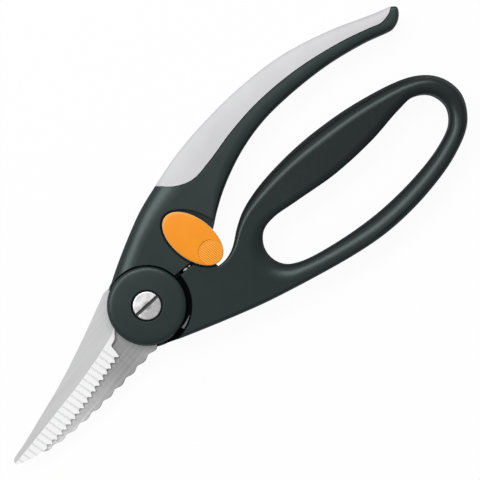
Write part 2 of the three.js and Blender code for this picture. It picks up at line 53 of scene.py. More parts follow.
# Levels along Z, rear to front
HANDLE = (0.0, 14.8)
REAR_BLADE = (5.2, 7.25)
FRONT_BLADE = (7.55, 9.6)
FRONT_COVER = (9.9, 15.4)
REAR_COVER = (0.0, 4.9)
STRIKE = (2.4, 6.4)
STRIKE_ROOF = 7.6
LOCK_FLOOR = 10.6
LOCK = (10.9, 16.2)
SCREW_HEAD = (12.5, 15.0)
SLOT = {"sizes": (16.0, 1.4, 2.4), "turn": -8.0}
COVER_FLOOR = 11.4
FLANGE_TOP = 1.8
FLANGE_SEAT = 2.1
SLEEVE = (2.0, 11.2)
SCREW_FOOT = 2.3
ABOVE = 22.0
BELOW = -4.0
GAP = 0.3
SLIM_GAP = 0.05

# Radii about the screw axis
FRONT_COVER_RADIUS = 16.0
REAR_COVER_RADIUS = 17.1
HUB_RADIUS = 15.0
GROOVE_RADIUS = 18.1
SWEEP_RADIUS = 18.9
SLEEVE_RADIUS = 4.0
FLANGE_RADIUS = 7.5
SCREW_RADIUS = 2.5
HEAD_RADIUS = 5.7
HEAD_ROOM = 0.6
AXIS_RADIUS = 0.02
LIP_RADIUS = 14.9
LIP_TOP = 10.3
REBATE = {"radius": 14.5, "floor": 10.45}
COVER_CROWN = {"radius": 11.5, "drop": 0.12, "rounding": 1.6, "rim_drop": 0.35, "rim_rounding": 2.1}
TANG_WINDOW = {"from": -83.0, "to": -60.0, "radius": 17.3, "width": 1.15}

# Facets round the covers and their rooms
FINE_STEPS = 160

# Swing lock
OVAL = {"x": 32.2, "y": 3.05, "half_width": 8.05, "half_length": 14.05, "lean": 2.4}
LOCK_PIN = (31.3, 12.0)
LOCK_PIN_RADIUS = 1.6
LOCK_POST = (28.6, -5.2)
LOCK_POST_RADIUS = 1.2
LOCK_SWING = 12.0
LOCK_MARGIN = 0.95
LOCK_SWUNG_MARGIN = 0.75
THUMB_PAD = {"x": 32.6, "y": -5.7, "radius": 5.0, "depth": 0.45, "crown": 0.35}
RIDGE_PITCH = 0.75
RIDGE_HEIGHT = 0.22
LOCK_CAP = {"foot": 0.3, "shoulder": 14.9, "rounding": 1.1, "rise": 0.85}
LOCK_PIN_TOP = 14.2
LOCK_POST_TOP = 13.2
PIN_FOOT = 3.0
LEAF_ROOM = {"sizes": (10.0, 3.6, 2.25), "place": (32.0, 4.5, 9.775)}
STRIKE_OUTLINE = [
    (25.3, -9.3), (34.6, -9.3), (36, -8.2), (36, -2), (30.8, -2), (30.8, -3.8), (33.9, -3.8), (33.9, -6.8),
    (25.3, -6.8),
]

# Opening spring, along Y across the parting gap
SPRING = {
    "x": 20.8, "z": 7.4, "start": -8.6, "end": 4.6, "radius": 2.2, "wire": 0.4, "curls": 6, "turn": 170.0,
}
FLAT_WIRE = [
    (0.25, -0.3), (0.25, 0.3), (0.15, 0.4), (-0.15, 0.4), (-0.25, 0.3), (-0.25, -0.3), (-0.15, -0.4),
    (0.15, -0.4),
]
SPRING_POCKET_RADIUS = 3.0
SPRING_POCKET_MOUTHS = (-6.0, 3.0)

# Tongue of the loop handle under the arm's parting face
TONGUE = [(16.5, -5), (26.9, -5), (26.9, 0.6), (16.5, 0.6)]
TONGUE_SPAN = (0.6, 3.6)

# Blades
FLUTE_PITCH = 2.75
FLUTES = 21
FLUTE_RADIUS = 0.5
FLUTE_DEPTH = 0.16
FLUTE_LEAD = 0.75
FLUTE_SETBACK = 0.25
FLUTE_LENGTH = 16.0
NOTCHES = 17
NOTCH_START = -24.5
NOTCH = [(-1.3, -0.6), (1.3, -0.6), (1.05, 0.2), (0.6, 0.85), (0, 1.3), (-0.6, 0.85), (-1.05, 0.2)]
BEVEL_SLOPE = 0.12
BEVEL_WIDTH = 12.0
BEVEL_LINE = [
    (-84, 0.1), (-68, 0.2), (-56, 0.5), (-42.4, 0.9), (-33.3, 1.55), (-24.2, 2.55), (-18.7, 3.4),
    (-15.5, 4.6), (-13, 5.8),
]
BEVEL_HEEL = -22.0
HUMP_PITCH = 6.5
HUMP_HEIGHT = 1.0
HUMP_SKEW = 0.12
HUMP_SOFTNESS = 0.02
HUMPS_FADE = (-76.0, -71.0)
HUMP_START = -11.55
# Span along X where the humps' edges facing -Y get painted shade
EDGE_SHADE_SPAN = (-46.0, -8.0)

# Outlines of the handles: x, y and the fillet of the rim there
LOOP_RIM = [
    (-7, -15.3, 1.4), (0.2, -19.5, 1.5), (23.3, -31.7, 1.6), (36.5, -37.9, 1.6), (69.9, -51, 1.6),
    (86.7, -55.4, 1.7), (106.1, -57.19, 1.8), (124.6, -55.9, 1.8), (137.6, -51.5, 2.1), (144.7, -43.5, 3),
    (145.9, -36, 3.6), (143.5, -28.7, 3.6), (136.8, -21.8, 4.4), (116.7, -12.6, 5.4), (95, -6.6, 5.8),
    (78.3, -4.2, 5), (63.3, -3.8, 4.2), (53.3, -5.2, 3), (46.6, -7.7, 2.2), (40.7, -10.8, 1.7),
    (37.2, -12, 1.3), (33.6, -12.3, 1), (30.2, -11.7, 0.6),
]
LOOP_LEDGE = [
    (30.2, -11.7, 0.6), (30.2, -9.6, 0.5), (26.8, -7.2, 0.5), (26.8, -4.4, 0.4), (24.8, -3.9, 0.3),
    (17.3, -2.3, 0.3), (6, -0.6, 0.3), (-4, -8, 0.5), (-7, -15.3, 1.4),
]
LOOP_HOLE = [
    (46.5, -26.1, 8), (48.1, -20.6, 6.4), (52.8, -16.6, 4), (59, -16.2, 3), (70.1, -19.1, 2.8),
    (88.7, -24.1, 2.9), (108.3, -26.7, 3.2), (124, -27.1, 3.5), (132.2, -28.3, 3), (137.4, -33.3, 2.8),
    (137.9, -40.6, 3.6), (133.4, -46, 4.6), (124.6, -48.7, 4.8), (108.3, -49.4, 5.7), (86.6, -47, 6.4),
    (65, -41.1, 5.4), (52.7, -35.8, 5.4), (48, -31.6, 7),
]
LOOP_RIM_RISE = 1.1
LOOP_HOLE_RISE = 0.62
ARM_DROP = 3.2
ARM_PARTING = [
    (-5.2, 15.6, 1), (0, 8, 0.5), (8, -0.2, 0.3), (16, -0.7, 0.3), (24.8, -2.5, 0.3), (26.3, -1.9, 0.4),
    (40.6, -0.4, 0.8),
]
ARM_INNER = [
    (40.6, -0.4, 0.8), (46.8, 2.8, 2), (56.6, 6.8, 3.6), (71.1, 10.5, 4), (85.6, 11.7, 4), (100.1, 10.4, 3.8),
    (120.3, 6.2, 3.4), (136.5, 0.5, 3.1), (145.5, -3.8, 3),
]
ARM_TIP = [
    (145.5, -3.8, 3), (148.1, -4.7, 2.8), (151, -4.2, 2.4), (153.8, -2.4, 1.7), (155.15, -0.2, 1.4),
    (153.4, 2, 1.7),
]
ARM_OUTER = [
    (153.4, 2, 1.7), (146.9, 5.4, 4), (130, 14.8, 6.8), (110.2, 23, 9.6), (89.6, 27.5, 11.6),
    (70.3, 29.4, 13), (54.2, 29.6, 13), (38.8, 28.1, 9), (27.9, 26.5, 7.8), (18.8, 24.1, 6.8),
    (5.1, 19.6, 6.5), (-5.2, 15.6, 1.5),
]
INLAY_EDGE = [
    (36.6, 32), (38.75, 28), (43.2, 22), (50, 18), (59.8, 17.55), (74.3, 18.4), (90.4, 17.85), (109.7, 14.4),
    (129.8, 7.8), (141.9, 2.3), (145.9, 0.3), (150.9, 0.3), (154, 1.8), (157, 4.1),
]
INLAY_OUTSIDE = 40.0
INLAY_DEPTH = 2.4
INLAY_SHIFT = (-0.8, -2.3)

# Outlines of the blades, and the arcs of their hubs in degrees
FRONT_BLADE_EDGE = [
    (-82.6, -0.4), (-79, -2.6), (-72, -5.2), (-64, -6.6), (-58.6, -6.85), (-48, -6.6), (-36.9, -5.65),
    (-22.9, -4.2),
]
FRONT_BLADE_NOTCH = [
    (-22.9, -4.2), (-22.3, -1.9), (-22, -0.1), (-21.7, 0.7), (-21.2, 1), (-20.2, 1.1), (-19, 1.4), (-18, 2),
    (-17.2, 2.7), (-16.2, 3.6), (-15, 4.4),
]
FRONT_TANG = [
    (1.4, -15), (2, -18.2), (36, -31.5), (41, -30), (42, -25), (38, -21.5), (14, -11.5), (11.5, -9.6),
]
FRONT_TANG_MOUTH = [(8, -6), (4, -8)]
FRONT_HUB = {"edge_side": (163, 275), "spine_side": (-38, 103)}
FRONT_BLADE_CORNER = [(-3.6, 15.6), (-4.6, 16.3), (-7.4, 16.6), (-10, 15.9)]
FRONT_BLADE_SPINE = [
    (-10, 15.9), (-20, 13.1), (-30, 10.5), (-40, 8.1), (-50, 6.1), (-61, 4.4), (-71, 2.8), (-76, 2.2),
]
FRONT_BLADE_POINT = [(-76, 2.2), (-80.8, 1.8), (-82, 1.1), (-82.6, -0.4)]
REAR_BLADE_BACK = [
    (-82.4, -0.7), (-79, -2.2), (-76, -3.4), (-73, -4.7), (-70, -6.25), (-66, -7.45), (-50, -10.3),
    (-30, -12.2), (-11, -13.5),
]
REAR_TANG = [(13.7, 6), (24, 7.6), (36, 9), (60, 14.5), (61.5, 19), (60, 22.5), (8, 12.7)]
REAR_HUB = {"back_side": (235, 383), "edge_side": (60, 158)}
REAR_TANG_MOUTH = [(4, 8), (6, 4)]
REAR_BLADE_EDGE = [(-14.1, 5.2), (-24, 2.2), (-40, 0.4), (-82.55, -0.6)]

# Tint of the dark plastics' highlights
SHEEN = (0.82, 1.0, 0.98, 1.0)

# Photograph
PHOTO_TURN = 50.2
PHOTO_CENTRE = (43.8, -11.7, 9.0)
PHOTO_WIDTH = 192.0
LENS = 200.0
SENSOR = 36.0

# Light, in metres and watts
SKY = {"towards": (0.3, 0.95, 0.0), "low": 0.32, "high": 0.77}
KEY = {"offset": Vector((0.06, 0.43, 0.78)), "width": 1.1, "height": 0.3, "power": 4.8}


# Outlines

def as_points(points):
    return [Vector((p[0], p[1], p[2] if len(p) > 2 else 0.0)) for p in points]


def smooth_run(points, step=1.2, closed=False):
    """Evenly spaced points on a smooth curve through the given ones. The fillet is carried along."""
    knots = as_points(points)
    if closed:
        chain = [knots[-1], *knots, knots[0], knots[1]]
    else:
        chain = [2 * knots[0] - knots[1], *knots, 2 * knots[-1] - knots[-2]]
    fine = []
    for before, start, end, after in zip(chain, chain[1:], chain[2:], chain[3:]):
        first, middle, last = (math.sqrt((b - a).xy.length) for a, b in
                               ((before, start), (start, end), (end, after)))
        pace = (end - start) / middle
        leaving = ((start - before) / first - (end - before) / (first + middle) + pace) * middle
        arriving = (pace - (after - start) / (middle + last) + (after - end) / last) * middle
        for i in range(16):
            t = i / 16
            fine.append(start * (2 * t ** 3 - 3 * t ** 2 + 1) + leaving * (t ** 3 - 2 * t ** 2 + t)
                        + end * (3 * t ** 2 - 2 * t ** 3) + arriving * (t ** 3 - t ** 2))
    fine.append(chain[-2])
    reach = [0.0]
    for a, b in zip(fine, fine[1:]):
        reach.append(reach[-1] + (b - a).xy.length)
    count = max(1, round(reach[-1] / step))
    spaced = []
    at = 0
    for i in range(count + 1):
        goal = reach[-1] * i / count
        while at < len(fine) - 2 and reach[at + 1] < goal:
            at += 1
        share = (goal - reach[at]) / (reach[at + 1] - reach[at])
        spaced.append(fine[at].lerp(fine[at + 1], share))
    return spaced[:-1] if closed else spaced


def arc(radius, start, end, steps):
    angles = (math.radians(start + (end - start) * i / steps) for i in range(steps + 1))
    return [Vector((radius * math.cos(a), radius * math.sin(a), 0.0)) for a in angles]


def circle(radius, z, steps, centre=(0.0, 0.0)):
    """A level ring of points. On its axis it keeps a very small radius."""
    points = arc(max(radius, AXIS_RADIUS), 0, 360, steps)[:-1]
    return [Vector((centre[0] + p.x, centre[1] + p.y, z)) for p in points]


def outline_of(*runs):
    """One closed outline out of runs of points, without the doubled points where runs meet."""
    points = [p for run in runs for p in run]
    return [p for i, p in enumerate(points) if (p - points[(i + 1) % len(points)]).xy.length > 1e-4]


def inward_of(outline):
    """At each point, the direction to the left of travel, long enough to keep a parallel rim."""
    directions = []
    for i, point in enumerate(outline):
        before = outline[i - 1]
        after = outline[(i + 1) % len(outline)]
        arriving = Vector((before.y - point.y, point.x - before.x)).normalized()
        leaving = Vector((point.y - after.y, after.x - point.x)).normalized()
        middle = (arriving + leaving).normalized()
        directions.append(middle / max(0.6, middle.dot(leaving)))
    return directions


def inset(outline, distance):
    """The outline moved into its material by a distance, or by each point's own one."""
    moved = []
    for point, inward in zip(outline, inward_of(outline)):
        step = inward * (distance(point) if callable(distance) else distance)
        moved.append(Vector((point.x + step.x, point.y + step.y, point.z)))
    return moved


def oval(margin=0.0, swing=0.0, steps=120):
    """The lock's oval, grown by a margin and swung about its pin."""
    lean = Matrix.Rotation(math.radians(OVAL["lean"]), 2)
    turn = Matrix.Rotation(math.radians(swing), 2)
    pin = Vector(LOCK_PIN)
    points = []
    for i in range(steps):
        angle = 2 * math.pi * i / steps
        point = Vector(((OVAL["half_width"] + margin) * math.cos(angle),
                        (OVAL["half_length"] + margin) * math.sin(angle)))
        point = lean @ point + Vector((OVAL["x"], OVAL["y"]))
        point = turn @ (point - pin) + pin
        points.append(Vector((point.x, point.y, 0.0)))
    return points


# Modelling

def select_only(first, *others):
    """Leaves just these pieces selected, the first of them active."""
    bpy.ops.object.select_all(action="DESELECT")
    for piece in (first, *others):
        piece.select_set(True)
    bpy.context.view_layer.objects.active = first


def drawn_wall(name, rings):
    """A circle drawn out ring by ring, with each ring moved onto its points."""
    bpy.ops.object.select_all(action="DESELECT")
    bpy.ops.mesh.primitive_circle_add(vertices=len(rings[0]), radius=MM)
    wall = bpy.context.active_object
    wall.name = name
    wall.data.name = name
    bpy.ops.object.mode_set(mode="EDIT")
    bpy.ops.mesh.select_all(action="SELECT")
    for _ in rings[1:]:
        bpy.ops.mesh.extrude_region_move()
    bpy.ops.object.mode_set(mode="OBJECT")
    wall.data.vertices.foreach_set("co", [c * MM for ring in rings for p in ring for c in p])
    wall.data.update()
    return wall


def close_ends(wall):
    """Fills the flat ends of a wall and turns its faces outwards."""
    select_only(wall)
    levels = [v.co.z for v in wall.data.vertices]
    for level in (min(levels), max(levels)):
        bpy.ops.object.mode_set(mode="EDIT")
        bpy.ops.mesh.select_mode(type="EDGE")
        bpy.ops.mesh.select_all(action="DESELECT")
        bpy.ops.mesh.select_non_manifold(extend=False, use_wire=False, use_multi_face=False,
                                         use_non_contiguous=False, use_verts=False)
        bpy.ops.object.mode_set(mode="OBJECT")
        for edge in wall.data.edges:
            heights = [wall.data.vertices[v].co.z for v in edge.vertices]
            edge.select = edge.select and all(abs(h - level) < 1e-7 for h in heights)
        bpy.ops.object.mode_set(mode="EDIT")
        bpy.ops.mesh.fill(use_beauty=True)
        bpy.ops.object.mode_set(mode="OBJECT")
    outwards(wall)
    return wall


def outwards(piece):
    select_only(piece)
    bpy.ops.object.mode_set(mode="EDIT")
    bpy.ops.mesh.select_all(action="SELECT")
    bpy.ops.mesh.remove_doubles(threshold=2e-7)
    bpy.ops.mesh.normals_make_consistent(inside=False)
    bpy.ops.object.mode_set(mode="OBJECT")


def at_height(outline, z):
    return [Vector((p.x, p.y, z)) for p in outline]


def prism(name, outline, low, high):
    return close_ends(drawn_wall(name, [at_height(outline, low), at_height(outline, high)]))


def plate(name, outline, low, high, edge=0.12):
    """A flat plate with slightly broken edges."""
    small = inset(outline, edge)
    return close_ends(drawn_wall(name, [
        at_height(small, low), at_height(outline, low + edge),
        at_height(outline, high - edge), at_height(small, high),
    ]))


def rounded_wall(name, outline, low, high, rise, tallest, steps, flat):
    """The rounded rim of a slab: up the rear fillet, over the side and up the front fillet."""
    inward = inward_of(outline)
    rings = []
    turns = [math.pi / 2 * k / steps for k in range(steps + 1)]
    for front in (False, True):
        levels = turns if front else turns[::-1]
        for angle in levels:
            ring = []
            for point, direction in zip(outline, inward):
                step = direction * (point.z * (1 - math.cos(angle)))
                drop = min(point.z * rise, tallest) * (1 - math.sin(angle))
                level = high - drop if front else low + drop
                ring.append(Vector((point.x + step.x, point.y + step.y, level)))
            rings.append(ring)
    for index, level in ((0, low), (len(rings) + 1, high)):
        ring = [Vector((p.x + d.x * (p.z + flat), p.y + d.y * (p.z + flat), level))
                for p, d in zip(outline, inward)]
        rings.insert(index, ring)
    return drawn_wall(name, rings)


def rounded_slab(name, outlines, rises, low, high, tallest=7.0, steps=10, flat=0.2):
    """A slab with rounded rims. The first outline runs anticlockwise, and holes run clockwise."""
    walls = [rounded_wall(name, outline, low, high, rise, tallest, steps, flat)
             for outline, rise in zip(outlines, rises)]
    return close_ends(joined(*walls))


def joined(first, *others):
    select_only(first, *others)
    if others:
        bpy.ops.object.join()
    return first


def turned(name, profile, steps=96, centre=(0.0, 0.0)):
    """A turned piece out of radius and height pairs, from its rear middle round to its front middle."""
    return close_ends(drawn_wall(name, [circle(radius, z, steps, centre) for radius, z in profile]))


def rounded_profile(points, steps=5):
    """A profile of radius, height and rounding, with an arc in place of each rounded corner."""
    made = []
    for i, (radius, z, *rounding) in enumerate(points):
        corner = Vector((radius, z))
        if not rounding or i in (0, len(points) - 1):
            made.append((radius, z))
            continue
        start = corner + (Vector(points[i - 1][:2]) - corner).normalized() * rounding[0]
        end = corner + (Vector(points[i + 1][:2]) - corner).normalized() * rounding[0]
        for k in range(steps + 1):
            t = k / steps
            point = start * (1 - t) ** 2 + corner * (2 * t * (1 - t)) + end * t ** 2
            made.append((point.x, point.y))
    return made


def ring_solid(name, profile, steps=96):
    """A turned ring about the screw axis, from a closed profile of radius and height."""
    ring = drawn_wall(name, [circle(radius, z, steps) for radius, z in [*profile, profile[0]]])
    outwards(ring)
    return ring


def capped(name, rings):
    """A wall through rings, with flat ends across it."""
    wall = drawn_wall(name, rings)
    bpy.ops.object.mode_set(mode="EDIT")
    bpy.ops.mesh.select_all(action="DESELECT")
    bpy.ops.mesh.select_mode(type="EDGE")
    bpy.ops.mesh.select_non_manifold()
    bpy.ops.mesh.fill_holes(sides=0)
    bpy.ops.object.mode_set(mode="OBJECT")
    outwards(wall)
    return wall


def turned_cup(name, profile, steps=96):
    """A turned piece whose profile starts and ends on the axis at different heights."""
    return capped(name, [circle(radius, z, steps) for radius, z in profile])


def rod(name, place, radius, low, high, steps=40):
    return turned(name, [(radius, low), (radius, high)], steps, place)


def box(name, sizes, place, turn=0.0):
    bpy.ops.object.select_all(action="DESELECT")
    bpy.ops.mesh.primitive_cube_add(
        size=1.0, location=[c * MM for c in place], rotation=(0, 0, math.radians(turn)),
    )
    made = bpy.context.active_object
    made.name = name
    made.scale = [s * MM for s in sizes]
    bpy.ops.object.transform_apply(location=True, rotation=True, scale=True)
    return made


def apply_modifier(piece, kind, **settings):
    select_only(piece)
    bpy.ops.object.modifier_add(type=kind)
    modifier = piece.modifiers[-1]
    for key, value in settings.items():
        setattr(modifier, key, value)
    bpy.ops.object.modifier_apply(modifier=modifier.name)


def shape_with(piece, operation, *tools):
    """Cuts or joins closed solids, and clears the empty slot that the solver leaves for a finish."""
    for tool in tools:
        apply_modifier(piece, "BOOLEAN", operation=operation, solver="MANIFOLD", object=tool)
        bpy.data.objects.remove(tool)
    piece.data.materials.clear()
    return piece


def cut(piece, *tools):
    return shape_with(piece, "DIFFERENCE", *tools)


def softened(piece, width, angle=40.0, segments=2):
    """Breaks the sharp edges."""
    apply_modifier(piece, "BEVEL", width=width * MM, segments=segments, limit_method="ANGLE",
                   angle_limit=math.radians(angle), use_clamp_overlap=True, miter_outer="MITER_ARC")
    return piece


def finished(piece, body, slot, material, *nodes, angle=35.0):
    """Shades a piece, gives it its finish and lets it ride on its body in place of its nodes."""
    select_only(piece)
    bpy.ops.object.shade_smooth_by_angle(angle=math.radians(angle))
    apply_modifier(piece, "WEIGHTED_NORMAL", mode="FACE_AREA_WITH_ANGLE", weight=60, keep_sharp=True)
    if not piece.data.materials:
        piece.data.materials.append(material)
    if body:
        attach(piece, body)
    if nodes:
        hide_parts(*nodes)
    return piece


# Finishes

def linear(*levels):
    """A colour from its levels on the screen, 0 to 255."""
    return [((c / 255 + 0.055) / 1.055) ** 2.4 if c > 10 else c / 255 / 12.92 for c in levels]


def set_range(node, *numbers):
    """The two ends of a Map Range node's input, then those of its output."""
    for socket, number in zip(("From Min", "From Max", "To Min", "To Max"), numbers):
        node.inputs[socket].default_value = number


class Finish:
    """A material with one Principled shader, and the nodes that vary it over the piece."""

    def __init__(self, name, **sockets):
        self.material = bpy.data.materials.new(name)
        self.material.use_nodes = True
        self.nodes = self.material.node_tree.nodes
        self.links = self.material.node_tree.links
        self.shader = self.nodes["Principled BSDF"]
        coordinates = self.nodes.new("ShaderNodeTexCoord").outputs
        self.place = coordinates["Object"]
        self.normal = coordinates["Normal"]
        for socket, value in sockets.items():
            self.shader.inputs[socket.replace("_", " ")].default_value = value

    def noise(self, scale, detail=3.0, stretch=(1, 1, 1)):
        mapping = self.nodes.new("ShaderNodeMapping")
        mapping.inputs["Scale"].default_value = stretch
        texture = self.nodes.new("ShaderNodeTexNoise")
        texture.inputs["Scale"].default_value = scale
        texture.inputs["Detail"].default_value = detail
        self.links.new(self.place, mapping.inputs["Vector"])
        self.links.new(mapping.outputs["Vector"], texture.inputs["Vector"])
        return texture.outputs["Fac"]

    def ramp(self, factor, *stops):
        """Colours or grey levels at positions along a factor."""
        ramp = self.nodes.new("ShaderNodeValToRGB")
        elements = ramp.color_ramp.elements
        while len(elements) < len(stops):
            elements.new(0.5)
        for element, (position, colour) in zip(elements, stops):
            element.position = position
            element.color = (*colour, 1.0)
        self.links.new(factor, ramp.inputs["Fac"])
        return ramp.outputs["Color"]

    def along(self, axis, start, end):
        """0 to 1 between two places along an axis, in millimetres."""
        parts = self.nodes.new("ShaderNodeSeparateXYZ")
        self.links.new(self.place, parts.inputs["Vector"])
        return self.span(parts.outputs[axis], start * MM, end * MM, 0.0, 1.0)

    def from_axis(self, reach):
        """0 on the screw axis to 1 at a distance from it."""
        flat = self.nodes.new("ShaderNodeVectorMath")
        flat.operation = "MULTIPLY"
        flat.inputs[1].default_value = (1, 1, 0)
        self.links.new(self.place, flat.inputs[0])
        length = self.nodes.new("ShaderNodeVectorMath")
        length.operation = "LENGTH"
        self.links.new(flat.outputs["Vector"], length.inputs[0])
        return self.span(length.outputs["Value"], 0.0, reach * MM, 0.0, 1.0)

    def span(self, value, low, high, to_low, to_high):
        spread = self.nodes.new("ShaderNodeMapRange")
        set_range(spread, low, high, to_low, to_high)
        self.links.new(value, spread.inputs["Value"])
        return spread.outputs["Result"]

    def mix(self, factor, first, second, blend="MIX"):
        mixer = self.nodes.new("ShaderNodeMix")
        mixer.data_type = "RGBA"
        mixer.blend_type = blend
        for socket, value in ((mixer.inputs[0], factor), (mixer.inputs[6], first), (mixer.inputs[7], second)):
            if isinstance(value, bpy.types.NodeSocket):
                self.links.new(value, socket)
            else:
                socket.default_value = value
        return mixer.outputs[2]

    def colour(self, source):
        self.links.new(source, self.shader.inputs["Base Color"])

    def roughness(self, factor, low, high):
        self.links.new(self.span(factor, 0.3, 0.7, low, high), self.shader.inputs["Roughness"])

    def levelness(self):
        """1 on the front and rear faces, falling to 0 on the upright sides."""
        parts = self.nodes.new("ShaderNodeSeparateXYZ")
        self.links.new(self.normal, parts.inputs["Vector"])
        level = self.nodes.new("ShaderNodeMath")
        level.operation = "ABSOLUTE"
        self.links.new(parts.outputs["Z"], level.inputs[0])
        return level.outputs["Value"]

    def matt_flanks(self, flank, factor, low, high):
        """A roughness for the front and rear faces, and a higher one on the steep sides."""
        faces = self.span(factor, 0.3, 0.7, low, high)
        blend = self.nodes.new("ShaderNodeMapRange")
        set_range(blend, 0.4, 0.75, flank)
        self.links.new(self.levelness(), blend.inputs["Value"])
        self.links.new(faces, blend.inputs["To Max"])
        self.links.new(blend.outputs["Result"], self.shader.inputs["Roughness"])

    def bump(self, height, strength, depth):
        bump = self.nodes.new("ShaderNodeBump")
        bump.inputs["Strength"].default_value = strength
        bump.inputs["Distance"].default_value = depth * MM
        self.links.new(height, bump.inputs["Height"])
        self.links.new(bump.outputs["Normal"], self.shader.inputs["Normal"])


def moulded_plastic(name, near, far):
    """Moulded plastic, from its colour near the pivot to that at the end of the handle. This change along the
    handle is painted light and shade, and the loop's and arm's finishes are a lighter and a darker copy of
    one plastic.
    """
    finish = Finish(name, Specular_IOR_Level=0.5, Specular_Tint=SHEEN)
    length = finish.ramp(finish.along("X", 15, 115), (0.0, linear(*near)), (1.0, linear(*far)))
    cloud = finish.ramp(finish.noise(90, 4), (0.3, (0.75, 0.75, 0.75)), (0.7, (1, 1, 1)))
    # Painted shade: the colour is darkened to a fifth on the steep sides.
    rim = finish.ramp(finish.levelness(), (0.6, (0.2, 0.2, 0.2)), (0.9, (1, 1, 1)))
    finish.colour(finish.mix(1.0, finish.mix(1.0, length, cloud, "MULTIPLY"), rim, "MULTIPLY"))
    grain = finish.noise(2600, 2)
    finish.matt_flanks(0.85, grain, 0.28, 0.36)
    finish.bump(grain, 0.2, 0.04)
    return finish.material


def cover_plastic():
    finish = Finish("dark_cover_plastic", Specular_IOR_Level=0.5, Specular_Tint=SHEEN)
    cloud = finish.noise(120, 3)
    finish.colour(finish.ramp(cloud, (0.3, linear(20, 29, 28)), (0.7, linear(26, 35, 34))))
    grain = finish.noise(3200, 2)
    finish.roughness(grain, 0.3, 0.4)
    finish.bump(grain, 0.15, 0.03)
    return finish.material


def soft_inlay():
    finish = Finish("soft_grey_inlay", Specular_IOR_Level=0.25)
    cloud = finish.noise(70, 4)
    soft = finish.ramp(cloud, (0.3, linear(204, 204, 206)), (0.7, linear(211, 211, 213)))
    # Painted shade: the inlay's colour is darker on its steep sides.
    rim = finish.ramp(finish.levelness(), (0.5, (0.8, 0.8, 0.8)), (0.92, (1, 1, 1)))
    finish.colour(finish.mix(1.0, soft, rim, "MULTIPLY"))
    grain = finish.noise(3000, 2)
    finish.roughness(grain, 0.6, 0.75)
    finish.bump(grain, 0.15, 0.03)
    return finish.material


def lock_orange():
    finish = Finish("orange_plastic", Specular_IOR_Level=0.5)
    cloud = finish.noise(110, 3)
    orange = finish.ramp(cloud, (0.3, linear(246, 146, 7)), (0.7, linear(252, 155, 15)))
    # Painted highlight: the steep sides turn a pale cream.
    rim = finish.ramp(finish.levelness(), (0.3, (1, 1, 1)), (0.5, (1, 1, 1)), (0.85, (0, 0, 0)))
    finish.colour(finish.mix(rim, orange, (*linear(255, 212, 150), 1)))
    grain = finish.noise(2600, 2)
    finish.roughness(grain, 0.2, 0.27)
    finish.bump(grain, 0.08, 0.03)
    return finish.material


def orange_with_painted_furrow_shade():
    """The thumb pad, with painted shade in the furrows between its ridges and painted light on the ridges."""
    finish = Finish("orange_plastic_painted_furrow_shade", Specular_IOR_Level=0.3, Roughness=0.45)
    mapping = finish.nodes.new("ShaderNodeMapping")
    mapping.vector_type = "TEXTURE"
    mapping.inputs["Location"].default_value = (THUMB_PAD["x"] * MM, THUMB_PAD["y"] * MM, 0)
    mapping.inputs["Rotation"].default_value = (0, 0, math.radians(OVAL["lean"]))
    finish.links.new(finish.place, mapping.inputs["Vector"])
    wave = finish.nodes.new("ShaderNodeTexWave")
    wave.inputs["Scale"].default_value = math.pi / (10 * RIDGE_PITCH * MM)
    wave.inputs["Phase Offset"].default_value = math.pi
    finish.links.new(mapping.outputs["Vector"], wave.inputs["Vector"])
    finish.colour(finish.ramp(wave.outputs["Fac"], (0.1, linear(236, 128, 12)), (0.6, linear(255, 178, 62))))
    return finish.material


def brushed_steel(name, dark, light, low, high, stretch=(30, 2600, 2600), metallic=0.85):
    """Brushed steel between two colours and two roughnesses, its lines along X by default."""
    finish = Finish(name, Metallic=metallic)
    lines = finish.noise(1.0, 3, stretch)
    finish.colour(finish.ramp(lines, (0.3, linear(*dark)), (0.7, linear(*light))))
    finish.roughness(lines, low, high)
    finish.bump(lines, 0.12, 0.02)
    return finish.material


def plain_blade_steel():
    return brushed_steel("satin_blade_steel", (199, 199, 200), (212, 212, 213), 0.38, 0.46, metallic=0.5)


def ground_bevel_steel():
    """The bevel, ground across the blade. Its near-white, non-metallic colour is a painted reflection of a
    bright surround.
    """
    across = (2600, 30, 30)
    return brushed_steel("ground_bevel_steel", (253, 253, 254), (255, 255, 255), 0.4, 0.5, across, 0.0)


# Darker steel for the flutes' flanks: painted shade.
def flute_painted_shade_steel():
    return brushed_steel("flute_painted_shade_steel", (230, 230, 231), (242, 242, 243), 0.4, 0.5, metallic=0.2)


def scaling_blade_steel():
    finish = Finish("brushed_blade_steel", Metallic=0.5)
    lines = finish.noise(1.0, 4, (40, 2200, 2200))
    crossing = finish.noise(1.0, 2, (1500, 90, 90))
    # Painted light and shade along the blade: lighter near the pivot cover where its shadow falls, darkest a
    # little further out, lightening towards the tip.
    length = finish.along("X", -9, -75)
    levels = ((0.0, 218), (0.1, 192), (0.17, 173), (0.26, 171), (0.55, 207), (0.82, 240), (1.0, 252))
    brushed_with_painted_light = finish.ramp(length, *((position, linear(level, level, level)) for position, level in levels))
    for scratches, dark in ((lines, 0.8), (crossing, 0.88)):
        streaks = finish.ramp(scratches, (0.3, (dark, dark, dark)), (0.7, (1, 1, 1)))
        brushed_with_painted_light = finish.mix(1.0, brushed_with_painted_light, streaks, "MULTIPLY")
    finish.colour(brushed_with_painted_light)
    finish.roughness(lines, 0.34, 0.5)
    finish.bump(lines, 0.2, 0.02)
    return finish.material


